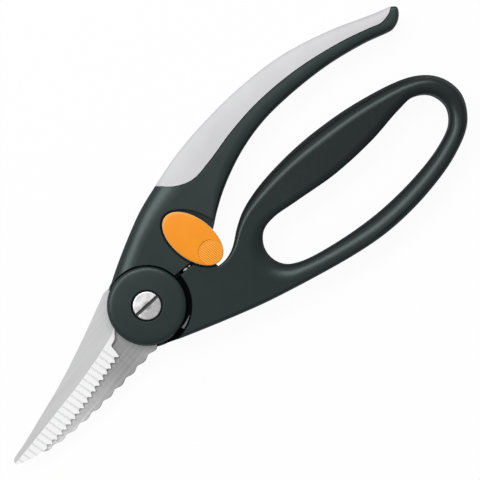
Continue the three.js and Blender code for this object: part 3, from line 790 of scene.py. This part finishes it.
def turned_steel():
    finish = Finish("turned_bright_steel", Metallic=0.85)
    smudge = finish.noise(260, 3)
    face = finish.ramp(smudge, (0.3, linear(226, 226, 227)), (0.6, linear(254, 254, 254)))
    # Darker towards the screw's axis.
    darker_near_axis = finish.ramp(finish.from_axis(5.7), (0.2, (0.5, 0.5, 0.5)), (0.4, (1, 1, 1)))
    shade = finish.ramp(finish.along("Y", -5, 5), (0.3, (0.63, 0.63, 0.63)), (0.6, (1, 1, 1)))
    finish.colour(finish.mix(1.0, finish.mix(1.0, face, darker_near_axis, "MULTIPLY"), shade, "MULTIPLY"))
    finish.roughness(smudge, 0.26, 0.4)
    finish.bump(finish.noise(1.0, 2, (2400, 300, 300)), 0.08, 0.02)
    return finish.material


def spring_steel():
    return brushed_steel("spring_steel", (240, 240, 241), (252, 252, 252), 0.12, 0.2, (900, 900, 900), 1.0)


def groove_painted_shade_plastic():
    """Dark matt plastic for the floor and wall of the groove round the pivot cover: painted shade."""
    finish = Finish("groove_painted_shade", Specular_IOR_Level=0.05, Roughness=0.8)
    cloud = finish.noise(90, 4)
    finish.colour(finish.ramp(cloud, (0.3, linear(10, 15, 15)), (0.7, linear(14, 20, 20))))
    return finish.material


# Darker steel for the humps' edges facing away from the light: painted shade.
def hump_edge_painted_shade_steel():
    return brushed_steel("hump_edge_painted_shade_steel", (120, 120, 121), (150, 150, 151), 0.5, 0.65)


# Darker steel for the screw's slot: painted shade.
def slot_painted_shade_steel():
    return brushed_steel("slot_painted_shade_steel", (60, 60, 61), (100, 100, 101), 0.45, 0.6)


def hidden_steel():
    return brushed_steel("inner_steel", (150, 151, 153), (182, 183, 184), 0.3, 0.45)


# Pieces

def pivot_room(name, with_lip):
    """The turned room for the pivot in a handle."""
    if with_lip:
        cover = REAR_COVER_RADIUS + SLIM_GAP
        sweep_floor = REAR_BLADE[0] - GAP
        sweep_roof = FRONT_BLADE[0] - GAP
        profile = [
            (0, BELOW), (cover, BELOW), (cover, sweep_floor), (SWEEP_RADIUS, sweep_floor),
            (SWEEP_RADIUS, sweep_roof), (LIP_RADIUS, sweep_roof), (LIP_RADIUS, LIP_TOP),
            (GROOVE_RADIUS, LIP_TOP), (GROOVE_RADIUS, ABOVE), (0, ABOVE),
        ]
    else:
        cover = REAR_COVER_RADIUS + 2 * GAP
        hub = HUB_RADIUS + 4 * GAP
        hub_floor = REAR_BLADE[0] - GAP
        hub_roof = REAR_BLADE[1] + GAP / 2
        disc = FRONT_COVER_RADIUS + GAP
        disc_floor = FRONT_COVER[0] - GAP / 2
        profile = [
            (0, BELOW), (cover, BELOW), (cover, hub_floor), (hub, hub_floor), (hub, hub_roof),
            (SWEEP_RADIUS, hub_roof), (SWEEP_RADIUS, disc_floor), (disc, disc_floor),
            (disc, ABOVE), (0, ABOVE),
        ]
    return turned(name, profile, FINE_STEPS)


def pocket(name, outline, low, high):
    return prism(name, inset(outline_of(as_points(outline)), -GAP), low - GAP, high + GAP)


def spring_pocket(name, start, end):
    """A round pocket along Y."""
    section = arc(SPRING_POCKET_RADIUS, 0, 360, 32)[:-1]
    return capped(name, [[Vector((SPRING["x"] + p.x, y, SPRING["z"] + p.y)) for p in section]
                         for y in (start, end)])


def tang_window(name):
    """A tapering slit in the lip of the groove, over the tang."""
    steps = 16
    outer = arc(TANG_WINDOW["radius"], TANG_WINDOW["from"], TANG_WINDOW["to"], steps)
    taper = TANG_WINDOW["width"] / TANG_WINDOW["radius"]
    inner = [p * (1 - taper * (1 - i / steps)) for i, p in enumerate(outer)]
    return prism(name, outline_of(outer, inner[-2::-1]), FRONT_BLADE[1] - 0.2, LIP_TOP + 1)


def loop_handle(material, groove_shade):
    rim = outline_of(smooth_run(LOOP_RIM), as_points(LOOP_LEDGE))
    hole = smooth_run(LOOP_HOLE, 1.0, closed=True)
    handle = rounded_slab("loop_handle_moulding", [rim, hole], [LOOP_RIM_RISE, LOOP_HOLE_RISE], *HANDLE)
    shape_with(handle, "UNION", prism("tongue", as_points(TONGUE), *TONGUE_SPAN))
    cut(
        handle,
        pivot_room("pivot_room", True),
        tang_window("tang_window"),
        prism("lock_room", oval(LOCK_MARGIN), STRIKE_ROOF, ABOVE),
        pocket("tang_pocket", [*FRONT_TANG, *FRONT_TANG_MOUTH], *FRONT_BLADE),
        pocket("strike_pocket", STRIKE_OUTLINE, *STRIKE),
        spring_pocket("spring_pocket", SPRING["start"] - GAP, SPRING_POCKET_MOUTHS[1]),
    )
    handle.data.materials.append(material)
    handle.data.materials.append(groove_shade)
    # Painted shade: the groove's floor and walls take the dark matt plastic.
    for face in handle.data.polygons:
        point = face.center / MM
        if point.xy.length < GROOVE_RADIUS + 0.05 and point.z > FRONT_BLADE[0]:
            face.material_index = 1
    return finished(handle, "loop", "dark_plastic", material, "loop_handle")


def arm_blank(name):
    rim = outline_of(
        as_points(ARM_PARTING), smooth_run(ARM_INNER), smooth_run(ARM_TIP, 0.8), smooth_run(ARM_OUTER),
    )
    return rounded_slab(name, [rim], [1.0], *HANDLE, tallest=ARM_DROP)


def beyond_inlay_edge(name, shift):
    edge = [Vector((p.x + shift * 0.3, p.y + shift, 0.0)) for p in smooth_run(INLAY_EDGE, 1.0)]
    outside = as_points([(edge[-1].x, INLAY_OUTSIDE), (edge[0].x, INLAY_OUTSIDE)])
    return prism(name, outline_of(edge, outside), BELOW, ABOVE)


def arm_core(name, clearance):
    """What the inlay lies on: the arm's own shape, thinner and moved inwards."""
    core = arm_blank(name)
    middle = (HANDLE[0] + HANDLE[1]) / 2
    thinner = 1 - (INLAY_DEPTH - clearance) / middle
    share = 1 - clearance / INLAY_DEPTH
    for vertex in core.data.vertices:
        vertex.co.x += INLAY_SHIFT[0] * share * MM
        vertex.co.y += INLAY_SHIFT[1] * share * MM
        vertex.co.z = middle * MM + (vertex.co.z - middle * MM) * thinner
    return core


def arm_handle(material):
    handle = arm_blank("arm_handle_moulding")
    bed = cut(beyond_inlay_edge("inlay_bed", 0.0), arm_core("inlay_core", 0.0))
    cut(
        handle,
        bed,
        pivot_room("pivot_room", False),
        prism("lock_room", oval(LOCK_MARGIN), LOCK_FLOOR, ABOVE),
        prism("lock_swing_room", oval(LOCK_SWUNG_MARGIN, LOCK_SWING), LOCK_FLOOR, ABOVE),
        pocket("tang_pocket", [*REAR_TANG, *REAR_TANG_MOUTH], *REAR_BLADE),
        rod("pin_hole", LOCK_PIN, LOCK_PIN_RADIUS + GAP, PIN_FOOT, ABOVE),
        box("leaf_room", LEAF_ROOM["sizes"], LEAF_ROOM["place"]),
        spring_pocket("spring_pocket", SPRING_POCKET_MOUTHS[0], SPRING["end"] + GAP),
        prism("tongue_room", inset(as_points(TONGUE), -GAP), BELOW, TONGUE_SPAN[1] + GAP),
    )
    return finished(handle, "arm", "dark_plastic", material, "arm_handle")


def arm_grip(material):
    grip = arm_blank("arm_grip_inlay")
    shape_with(grip, "INTERSECT", beyond_inlay_edge("inlay_side", GAP))
    cut(grip, arm_core("inlay_core", GAP))
    return finished(grip, "arm", "soft_grey", material, "arm_grip")


def bevel_wedge(name, line):
    """What the grinding takes off, from a line on the blade's flat towards its edge."""
    up = Vector((0, 0, 1))
    rings = []
    for i, point in enumerate(line):
        along = (line[min(i + 1, len(line) - 1)] - line[max(i - 1, 0)]).normalized()
        start = point + up * (FRONT_BLADE[1] - point.z)
        foot = start + (Vector((along.y, -along.x, 0)) - up * BEVEL_SLOPE) * BEVEL_WIDTH
        rings.append([start + up * 3, start, foot, foot + up * 6])
    return capped(name, rings)


def flute(name, start, along, fall):
    """A shallow groove down the bevel."""
    side = fall.cross(along)
    middle = start + side * (FLUTE_RADIUS - FLUTE_DEPTH)
    section = arc(FLUTE_RADIUS, 0, 360, 64)[:-1]
    return capped(name, [[middle + fall * reach + along * p.x + side * p.y for p in section]
                         for reach in (0.0, FLUTE_LENGTH)])


def at_x(points, x):
    """The place on a run of points at a given X."""
    for a, b in zip(points, points[1:]):
        if a.x <= x <= b.x:
            return a.lerp(b, (x - a.x) / (b.x - a.x))
    return points[0]


def front_blade(material, ground, flute_shade):
    edge = smooth_run(FRONT_BLADE_EDGE, 1.0)
    outline = outline_of(
        edge, as_points(FRONT_BLADE_NOTCH), arc(HUB_RADIUS, *FRONT_HUB["edge_side"], 40),
        as_points(FRONT_TANG), arc(HUB_RADIUS, *FRONT_HUB["spine_side"], 50), as_points(FRONT_BLADE_CORNER),
        smooth_run(FRONT_BLADE_SPINE, 3), as_points(FRONT_BLADE_POINT),
    )
    blade = plate("front_blade_ground", outline, *FRONT_BLADE)
    line = smooth_run(BEVEL_LINE, 2.5)
    along = (line[-1] - line[0]).normalized()
    fall = Vector((along.y, -along.x, -BEVEL_SLOPE)).normalized()
    flutes = []
    notches = []
    for i in range(FLUTES):
        x = NOTCH_START - i * FLUTE_PITCH
        if i < NOTCHES:
            place = at_x(edge, x)
            pointed = [place + p for p in as_points(NOTCH)]
            notches.append(prism("notch", pointed, FRONT_BLADE[0] - 1, FRONT_BLADE[1] + 1))
        start = at_x(line, x - FLUTE_LEAD) + Vector((0, 0, FRONT_BLADE[1]))
        flutes.append(flute("flute", start + fall * FLUTE_SETBACK, along, fall))
    cut(
        blade,
        bevel_wedge("bevel", line),
        joined(*flutes),
        joined(*notches),
        rod("sleeve_bore", (0, 0), SLEEVE_RADIUS + GAP, BELOW, ABOVE),
    )
    blade.data.materials.append(material)
    blade.data.materials.append(ground)
    blade.data.materials.append(flute_shade)
    level = fall.cross(along)
    for face in blade.data.polygons:
        point = face.center / MM
        beyond = at_x(line, point.x).y - point.y
        if point.x < BEVEL_LINE[-1][0] and beyond > 0.02 and point.z > FRONT_BLADE[0] + 0.05:
            # Painted shade: the tilted flanks of the flutes take the darker flute steel.
            in_flute = point.x < BEVEL_HEEL and 0.5 < face.normal.dot(level) < 0.998
            face.material_index = 2 if in_flute else 1
    return finished(blade, "loop", "pale_steel", material, "front_blade", angle=6)


def hump_turn(x):
    return math.pi * (x - HUMP_START) / HUMP_PITCH


def rear_blade(material, edge_shade):
    back = []
    for point in smooth_run(REAR_BLADE_BACK, 0.4):
        turn = hump_turn(point.x)
        hump = math.sqrt(math.cos(turn + HUMP_SKEW * math.sin(2 * turn)) ** 2 + HUMP_SOFTNESS) - 0.5
        fade = max(0.0, min(1.0, (point.x - HUMPS_FADE[0]) / (HUMPS_FADE[1] - HUMPS_FADE[0])))
        back.append(Vector((point.x, point.y - HUMP_HEIGHT * hump * fade, 0)))
    outline = outline_of(
        back, arc(HUB_RADIUS, *REAR_HUB["back_side"], 50), as_points(REAR_TANG),
        arc(HUB_RADIUS, *REAR_HUB["edge_side"], 40), as_points(REAR_BLADE_EDGE),
    )
    blade = plate("rear_blade_brushed", outline, REAR_BLADE[0], FRONT_BLADE[0] - SLIM_GAP, edge=0.2)
    cut(blade, rod("sleeve_bore", (0, 0), SLEEVE_RADIUS + GAP, BELOW, ABOVE),
        rod("pin_hole", LOCK_PIN, LOCK_PIN_RADIUS + GAP, BELOW, ABOVE))
    blade.data.materials.append(material)
    blade.data.materials.append(edge_shade)
    # Painted shade: the hump edges facing -Y take the darker steel.
    for face in blade.data.polygons:
        x = face.center.x / MM
        if face.normal.y < -0.3 and EDGE_SHADE_SPAN[0] < x < EDGE_SHADE_SPAN[1] and math.cos(hump_turn(x)) ** 2 > 0.4:
            face.material_index = 1
    return finished(blade, "arm", "dark_steel", material, "rear_blade", angle=25)


def front_cover(material, shaded):
    bore = SLEEVE_RADIUS + GAP
    recess = HEAD_RADIUS + HEAD_ROOM
    rear, front = FRONT_COVER
    profile = rounded_profile([
        (bore, rear), (REBATE["radius"], rear), (REBATE["radius"], REBATE["floor"]),
        (FRONT_COVER_RADIUS, REBATE["floor"], 0.2),
        (FRONT_COVER_RADIUS, front - COVER_CROWN["rim_drop"], COVER_CROWN["rim_rounding"]),
        (COVER_CROWN["radius"], front - COVER_CROWN["drop"], COVER_CROWN["rounding"]),
        (recess, front, 0.3), (recess, COVER_FLOOR), (bore, COVER_FLOOR),
    ])
    cover = ring_solid("front_pivot_cover_moulding", profile, FINE_STEPS)
    cover.data.materials.append(material)
    cover.data.materials.append(shaded)
    # Painted shade: the cover's steep sides take the dark matt groove plastic.
    for face in cover.data.polygons:
        if abs(face.normal.z) < 0.6:
            face.material_index = 1
    return finished(cover, "arm", "dark_plastic", material, "front_pivot_cover")


def rear_cover(material):
    bore = SLEEVE_RADIUS + GAP
    recess = FLANGE_RADIUS + GAP
    rear, front = REAR_COVER
    profile = rounded_profile([
        (bore, front), (bore, FLANGE_SEAT), (recess, FLANGE_SEAT), (recess, rear, 0.25),
        (REAR_COVER_RADIUS, rear, 0.9), (REAR_COVER_RADIUS, front, 0.2), (SLEEVE_RADIUS + 1, front),
    ])
    cover = ring_solid("rear_pivot_cover_moulding", profile, FINE_STEPS)
    return finished(cover, "loop", "dark_plastic", material, "rear_pivot_cover")


def pivot_screw(material, shaded):
    rear, front = SCREW_HEAD
    profile = rounded_profile([
        (0, SCREW_FOOT), (SCREW_RADIUS, SCREW_FOOT, 0.3), (SCREW_RADIUS, rear), (HEAD_RADIUS, rear, 0.15),
        (HEAD_RADIUS, front, 0.5), (0, front),
    ])
    screw = turned("pivot_screw_slotted", profile, 96)
    cut(screw, box("slot", SLOT["sizes"], (0, 0, front), SLOT["turn"]))
    softened(screw, 0.12, 50)
    screw.data.materials.append(material)
    screw.data.materials.append(shaded)
    flank = Vector((-math.sin(math.radians(SLOT["turn"])), math.cos(math.radians(SLOT["turn"])), 0))
    # Painted shade: the slot's faces take the darker steel.
    for face in screw.data.polygons:
        point = face.center / MM
        in_slot = abs(point.dot(flank)) < SLOT["sizes"][1] / 2 + 0.01 and point.xy.length < HEAD_RADIUS - 0.1
        if in_slot and front - SLOT["sizes"][2] / 2 - 0.1 < point.z < front - 0.1:
            face.material_index = 1
    return finished(screw, "loop", "bright_steel", material, "pivot_screw")


def sleeve_nut(material):
    bore = SCREW_RADIUS + GAP
    floor, top = SLEEVE
    profile = rounded_profile([
        (0, 0), (FLANGE_RADIUS, 0, 0.4), (FLANGE_RADIUS, FLANGE_TOP, 0.2), (SLEEVE_RADIUS, FLANGE_TOP),
        (SLEEVE_RADIUS, top, 0.2), (bore, top), (bore, floor), (0, floor),
    ])
    nut = turned_cup("pivot_sleeve_nut_turned", profile)
    return finished(nut, "loop", "bright_steel", material, "pivot_sleeve_nut")


def lock_lever(material, furrow_shaded):
    side = oval()
    foot, shoulder, rounding, rise = (LOCK_CAP[key] for key in ("foot", "shoulder", "rounding", "rise"))
    rings = [at_height(inset(side, foot), LOCK[0]), at_height(side, LOCK[0] + foot)]
    rim_steps = 8
    for k in range(rim_steps + 1):
        angle = math.pi / 2 * k / rim_steps
        ring = inset(side, rounding * (1 - math.cos(angle)))
        rings.append(at_height(ring, shoulder + rise * math.sin(angle)))
    middle = Vector((OVAL["x"], OVAL["y"], 0))
    top = inset(side, rounding)
    crown = LOCK[1] - shoulder - rise
    crown_steps = 15
    for k in range(1, crown_steps + 1):
        share = 1 - k / (crown_steps + 0.5)
        height = shoulder + rise + crown * (1 - share ** 2)
        ring = []
        for p in top:
            x = middle.x + (p.x - middle.x) * share
            y = middle.y + (p.y - middle.y) * share
            ring.append(Vector((x, y, height)))
        rings.append(ring)
    lever = close_ends(drawn_wall("lock_lever_cap", rings))
    cut(lever, thumb_dish("thumb_dish"),
        rod("pin_hole", LOCK_PIN, LOCK_PIN_RADIUS + GAP, BELOW, LOCK_PIN_TOP),
        rod("post_hole", LOCK_POST, LOCK_POST_RADIUS + GAP, BELOW, LOCK_POST_TOP))
    lever.data.materials.append(material)
    lever.data.materials.append(furrow_shaded)
    # The pad's faces take the orange with painted furrow shade and ridge light.
    pad = Vector((THUMB_PAD["x"], THUMB_PAD["y"]))
    for face in lever.data.polygons:
        point = face.center / MM
        if (point.xy - pad).length < THUMB_PAD["radius"] and point.z > LOCK[1] - 1.6 and face.normal.z > 0.4:
            face.material_index = 1
    return finished(lever, "lock", "orange_plastic", material, "lock_lever")


def thumb_dish(name):
    """The tool for the sunk thumb pad: a crowned floor with ridges, within a round wall."""
    radius = THUMB_PAD["radius"]
    around = 160
    across = 48
    lean = Matrix.Rotation(math.radians(-OVAL["lean"]), 2)
    surface = LOCK[1] - 0.25
    rings = [circle(radius, ABOVE, around, (THUMB_PAD["x"], THUMB_PAD["y"]))]
    for k in range(across):
        share = 1 - k / across
        ring = []
        for p in arc(radius * share, 0, 360, around)[:-1]:
            local = lean @ p.xy
            ridge = 0.5 + 0.5 * math.cos(2 * math.pi * local.x / RIDGE_PITCH)
            row = 0.75 + 0.25 * math.cos(2 * math.pi * local.y / RIDGE_PITCH)
            fade = max(0.0, min(1.0, (0.96 - share) / 0.1))
            floor = surface - THUMB_PAD["depth"] + THUMB_PAD["crown"] * (1 - share ** 2)
            height = floor + RIDGE_HEIGHT * (ridge * row - 0.5) * fade
            ring.append(Vector((THUMB_PAD["x"] + p.x, THUMB_PAD["y"] + p.y, height)))
        rings.append(ring)
    return capped(name, rings)


def opening_spring(material):
    steps = 28
    count = SPRING["curls"] * steps
    wire = SPRING["wire"]
    reach = SPRING["end"] - SPRING["start"] - 2 * wire
    centre = Vector((SPRING["x"], SPRING["start"] + wire, SPRING["z"]))
    rings = []
    for i in range(-1, count + 2):
        turn = max(0, min(count, i))
        angle = math.radians(SPRING["turn"]) + 2 * math.pi * turn / steps
        out = Vector((math.cos(angle), 0, math.sin(angle)))
        lead = Vector((-math.sin(angle), 0, math.cos(angle))) * (2 * wire * (i - turn))
        middle = centre + out * SPRING["radius"] + Vector((0, reach * turn / count, 0)) + lead
        rings.append([middle + out * p.x + Vector((0, p.y, 0)) for p in as_points(FLAT_WIRE)])
    coil = capped("opening_spring_coil", rings)
    finished(coil, None, "bright_steel", material, "opening_spring")
    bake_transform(coil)
    return coil


def finish_kept_node(name, material):
    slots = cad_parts[name].data.materials
    slots.clear()
    slots.append(material)


# Studio

def white_floor():
    """A white floor that still takes the object's shadow. The eye, metal and glass see it as white."""
    bpy.ops.object.select_all(action="DESELECT")
    bpy.ops.mesh.primitive_plane_add(size=20.0, location=(0, 0, -0.4 * MM))
    floor = bpy.context.active_object
    floor.name = "floor"
    material = bpy.data.materials.new("white_floor")
    material.use_nodes = True
    nodes, links = material.node_tree.nodes, material.node_tree.links
    shader = nodes["Principled BSDF"]
    shader.inputs["Base Color"].default_value = (0.9, 0.9, 0.9, 1)
    shader.inputs["Roughness"].default_value = 0.9
    shader.inputs["Specular IOR Level"].default_value = 0.0
    glow = nodes.new("ShaderNodeEmission")
    path = nodes.new("ShaderNodeLightPath")
    seen = path.outputs["Is Camera Ray"]
    for ray in ("Is Glossy Ray", "Is Transmission Ray"):
        either = nodes.new("ShaderNodeMath")
        either.operation = "MAXIMUM"
        links.new(seen, either.inputs[0])
        links.new(path.outputs[ray], either.inputs[1])
        seen = either.outputs[0]
    share = nodes.new("ShaderNodeMapRange")
    share.inputs["To Max"].default_value = 0.95
    mixer = nodes.new("ShaderNodeMixShader")
    links.new(seen, share.inputs["Value"])
    links.new(share.outputs["Result"], mixer.inputs["Fac"])
    links.new(shader.outputs["BSDF"], mixer.inputs[1])
    links.new(glow.outputs["Emission"], mixer.inputs[2])
    links.new(mixer.outputs["Shader"], nodes["Material Output"].inputs["Surface"])
    floor.data.materials.append(material)


def studio_light():
    """A sky that is brighter on the arm's side, and one wide softbox there."""
    scene = bpy.context.scene
    scene.view_settings.view_transform = "Standard"
    world = scene.world or bpy.data.worlds.new("studio")
    scene.world = world
    world.use_nodes = True
    nodes, links = world.node_tree.nodes, world.node_tree.links
    background = nodes["Background"]
    background.inputs["Color"].default_value = (1, 1, 1, 1)
    side = nodes.new("ShaderNodeVectorMath")
    side.operation = "DOT_PRODUCT"
    side.inputs[1].default_value = SKY["towards"]
    strength = nodes.new("ShaderNodeMapRange")
    set_range(strength, -1, 1, SKY["low"], SKY["high"])
    links.new(nodes.new("ShaderNodeTexCoord").outputs["Generated"], side.inputs[0])
    links.new(side.outputs["Value"], strength.inputs["Value"])
    links.new(strength.outputs["Result"], background.inputs["Strength"])
    softbox("key_softbox", Vector(PHOTO_CENTRE) * MM, **KEY)


def softbox(name, centre, offset, width, height, power):
    lamp = bpy.data.lights.new(name, "AREA")
    lamp.shape = "RECTANGLE"
    lamp.size = width
    lamp.size_y = height
    lamp.energy = power
    holder = bpy.data.objects.new(name, lamp)
    bpy.context.scene.collection.objects.link(holder)
    holder.location = centre + offset
    holder.rotation_mode = "QUATERNION"
    holder.rotation_quaternion = (-offset).to_track_quat("-Z", "Y")


def photo_camera():
    half = math.atan(SENSOR / 2 / LENS)
    distance = PHOTO_WIDTH / 2 / math.tan(half)
    place = Vector(PHOTO_CENTRE) + Vector((0, 0, distance))
    bpy.ops.object.camera_add(location=place * MM, rotation=(0, 0, -math.radians(PHOTO_TURN)))
    camera = bpy.context.active_object
    camera.data.lens = LENS
    camera.data.sensor_width = SENSOR
    camera.data.clip_end = 20
    bpy.context.scene.camera = camera


photo_camera()
studio_light()
white_floor()

bright = turned_steel()
inner = hidden_steel()
groove_shade = groove_painted_shade_plastic()
# The loop's plastic is painted darker towards its end and the arm's lighter towards its end: painted shade
# and painted light on one plastic.
loop_handle(moulded_plastic("loop_plastic", (23, 33, 32), (4, 8, 8)), groove_shade)
arm_handle(moulded_plastic("arm_plastic", (28, 38, 37), (44, 54, 53)))
arm_grip(soft_inlay())
front_blade(plain_blade_steel(), ground_bevel_steel(), flute_painted_shade_steel())
rear_blade(scaling_blade_steel(), hump_edge_painted_shade_steel())
cover = cover_plastic()
front_cover(cover, groove_shade)
rear_cover(cover)
pivot_screw(bright, slot_painted_shade_steel())
sleeve_nut(bright)
lock_lever(lock_orange(), orange_with_painted_furrow_shade())
opening_spring(spring_steel())
for node in ("screw_washer", "lock_strike", "lock_pivot_pin", "lock_post", "lock_detent_spring"):
    finish_kept_node(node, inner)
